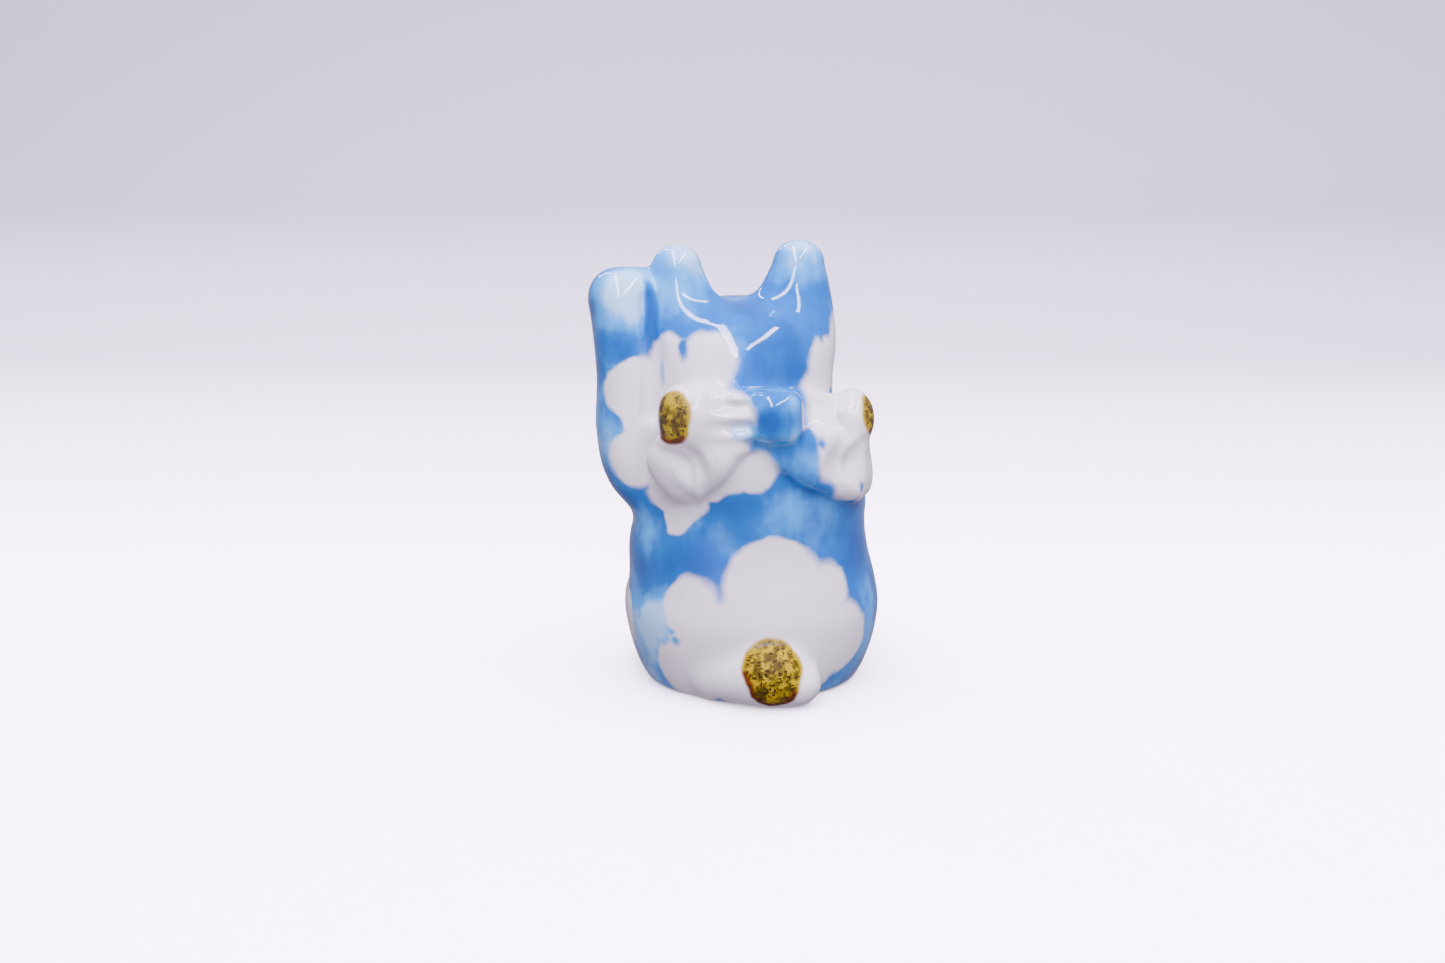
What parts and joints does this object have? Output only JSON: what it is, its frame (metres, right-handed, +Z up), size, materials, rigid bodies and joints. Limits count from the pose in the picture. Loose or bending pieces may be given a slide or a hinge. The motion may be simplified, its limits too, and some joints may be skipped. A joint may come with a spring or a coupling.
{
  "type": "ceramic cat figurine",
  "caption": "Seated beckoning cat figurine in glossy sky-blue and white glaze, with one paw raised, a ribbon bow tied at the nape and a short curled tail.",
  "frame": {"origin": "on the table, under the middle of the bounding box", "axes": "+Z up; -Y the way the cat faces; +X the cat's own left, the side of the raised arm"},
  "size_m": [0.0646, 0.064, 0.097],
  "materials": {
    "white_glaze": "glossy white glaze with painted blue sky areas",
    "blue_glaze": "glossy sky-blue glaze, thinner and paler on the ridges",
    "ochre_glaze": "glossy speckled ochre glaze with a brown rim"
  },
  "bodies": {
    "root": {"body_shell": "white_glaze", "head_shell": "white_glaze", "left_ear": "blue_glaze", "right_ear": "blue_glaze", "raised_left_arm": "white_glaze", "lowered_right_arm": "white_glaze", "left_foot": "white_glaze", "right_foot": "white_glaze", "tail": "ochre_glaze", "bow_knot": "blue_glaze", "bow_left_loop": "white_glaze", "bow_right_loop": "white_glaze", "bow_left_end": "white_glaze", "bow_right_end": "white_glaze", "collar_ribbon": "blue_glaze", "bell": "ochre_glaze"}
  },
  "joints": []
}
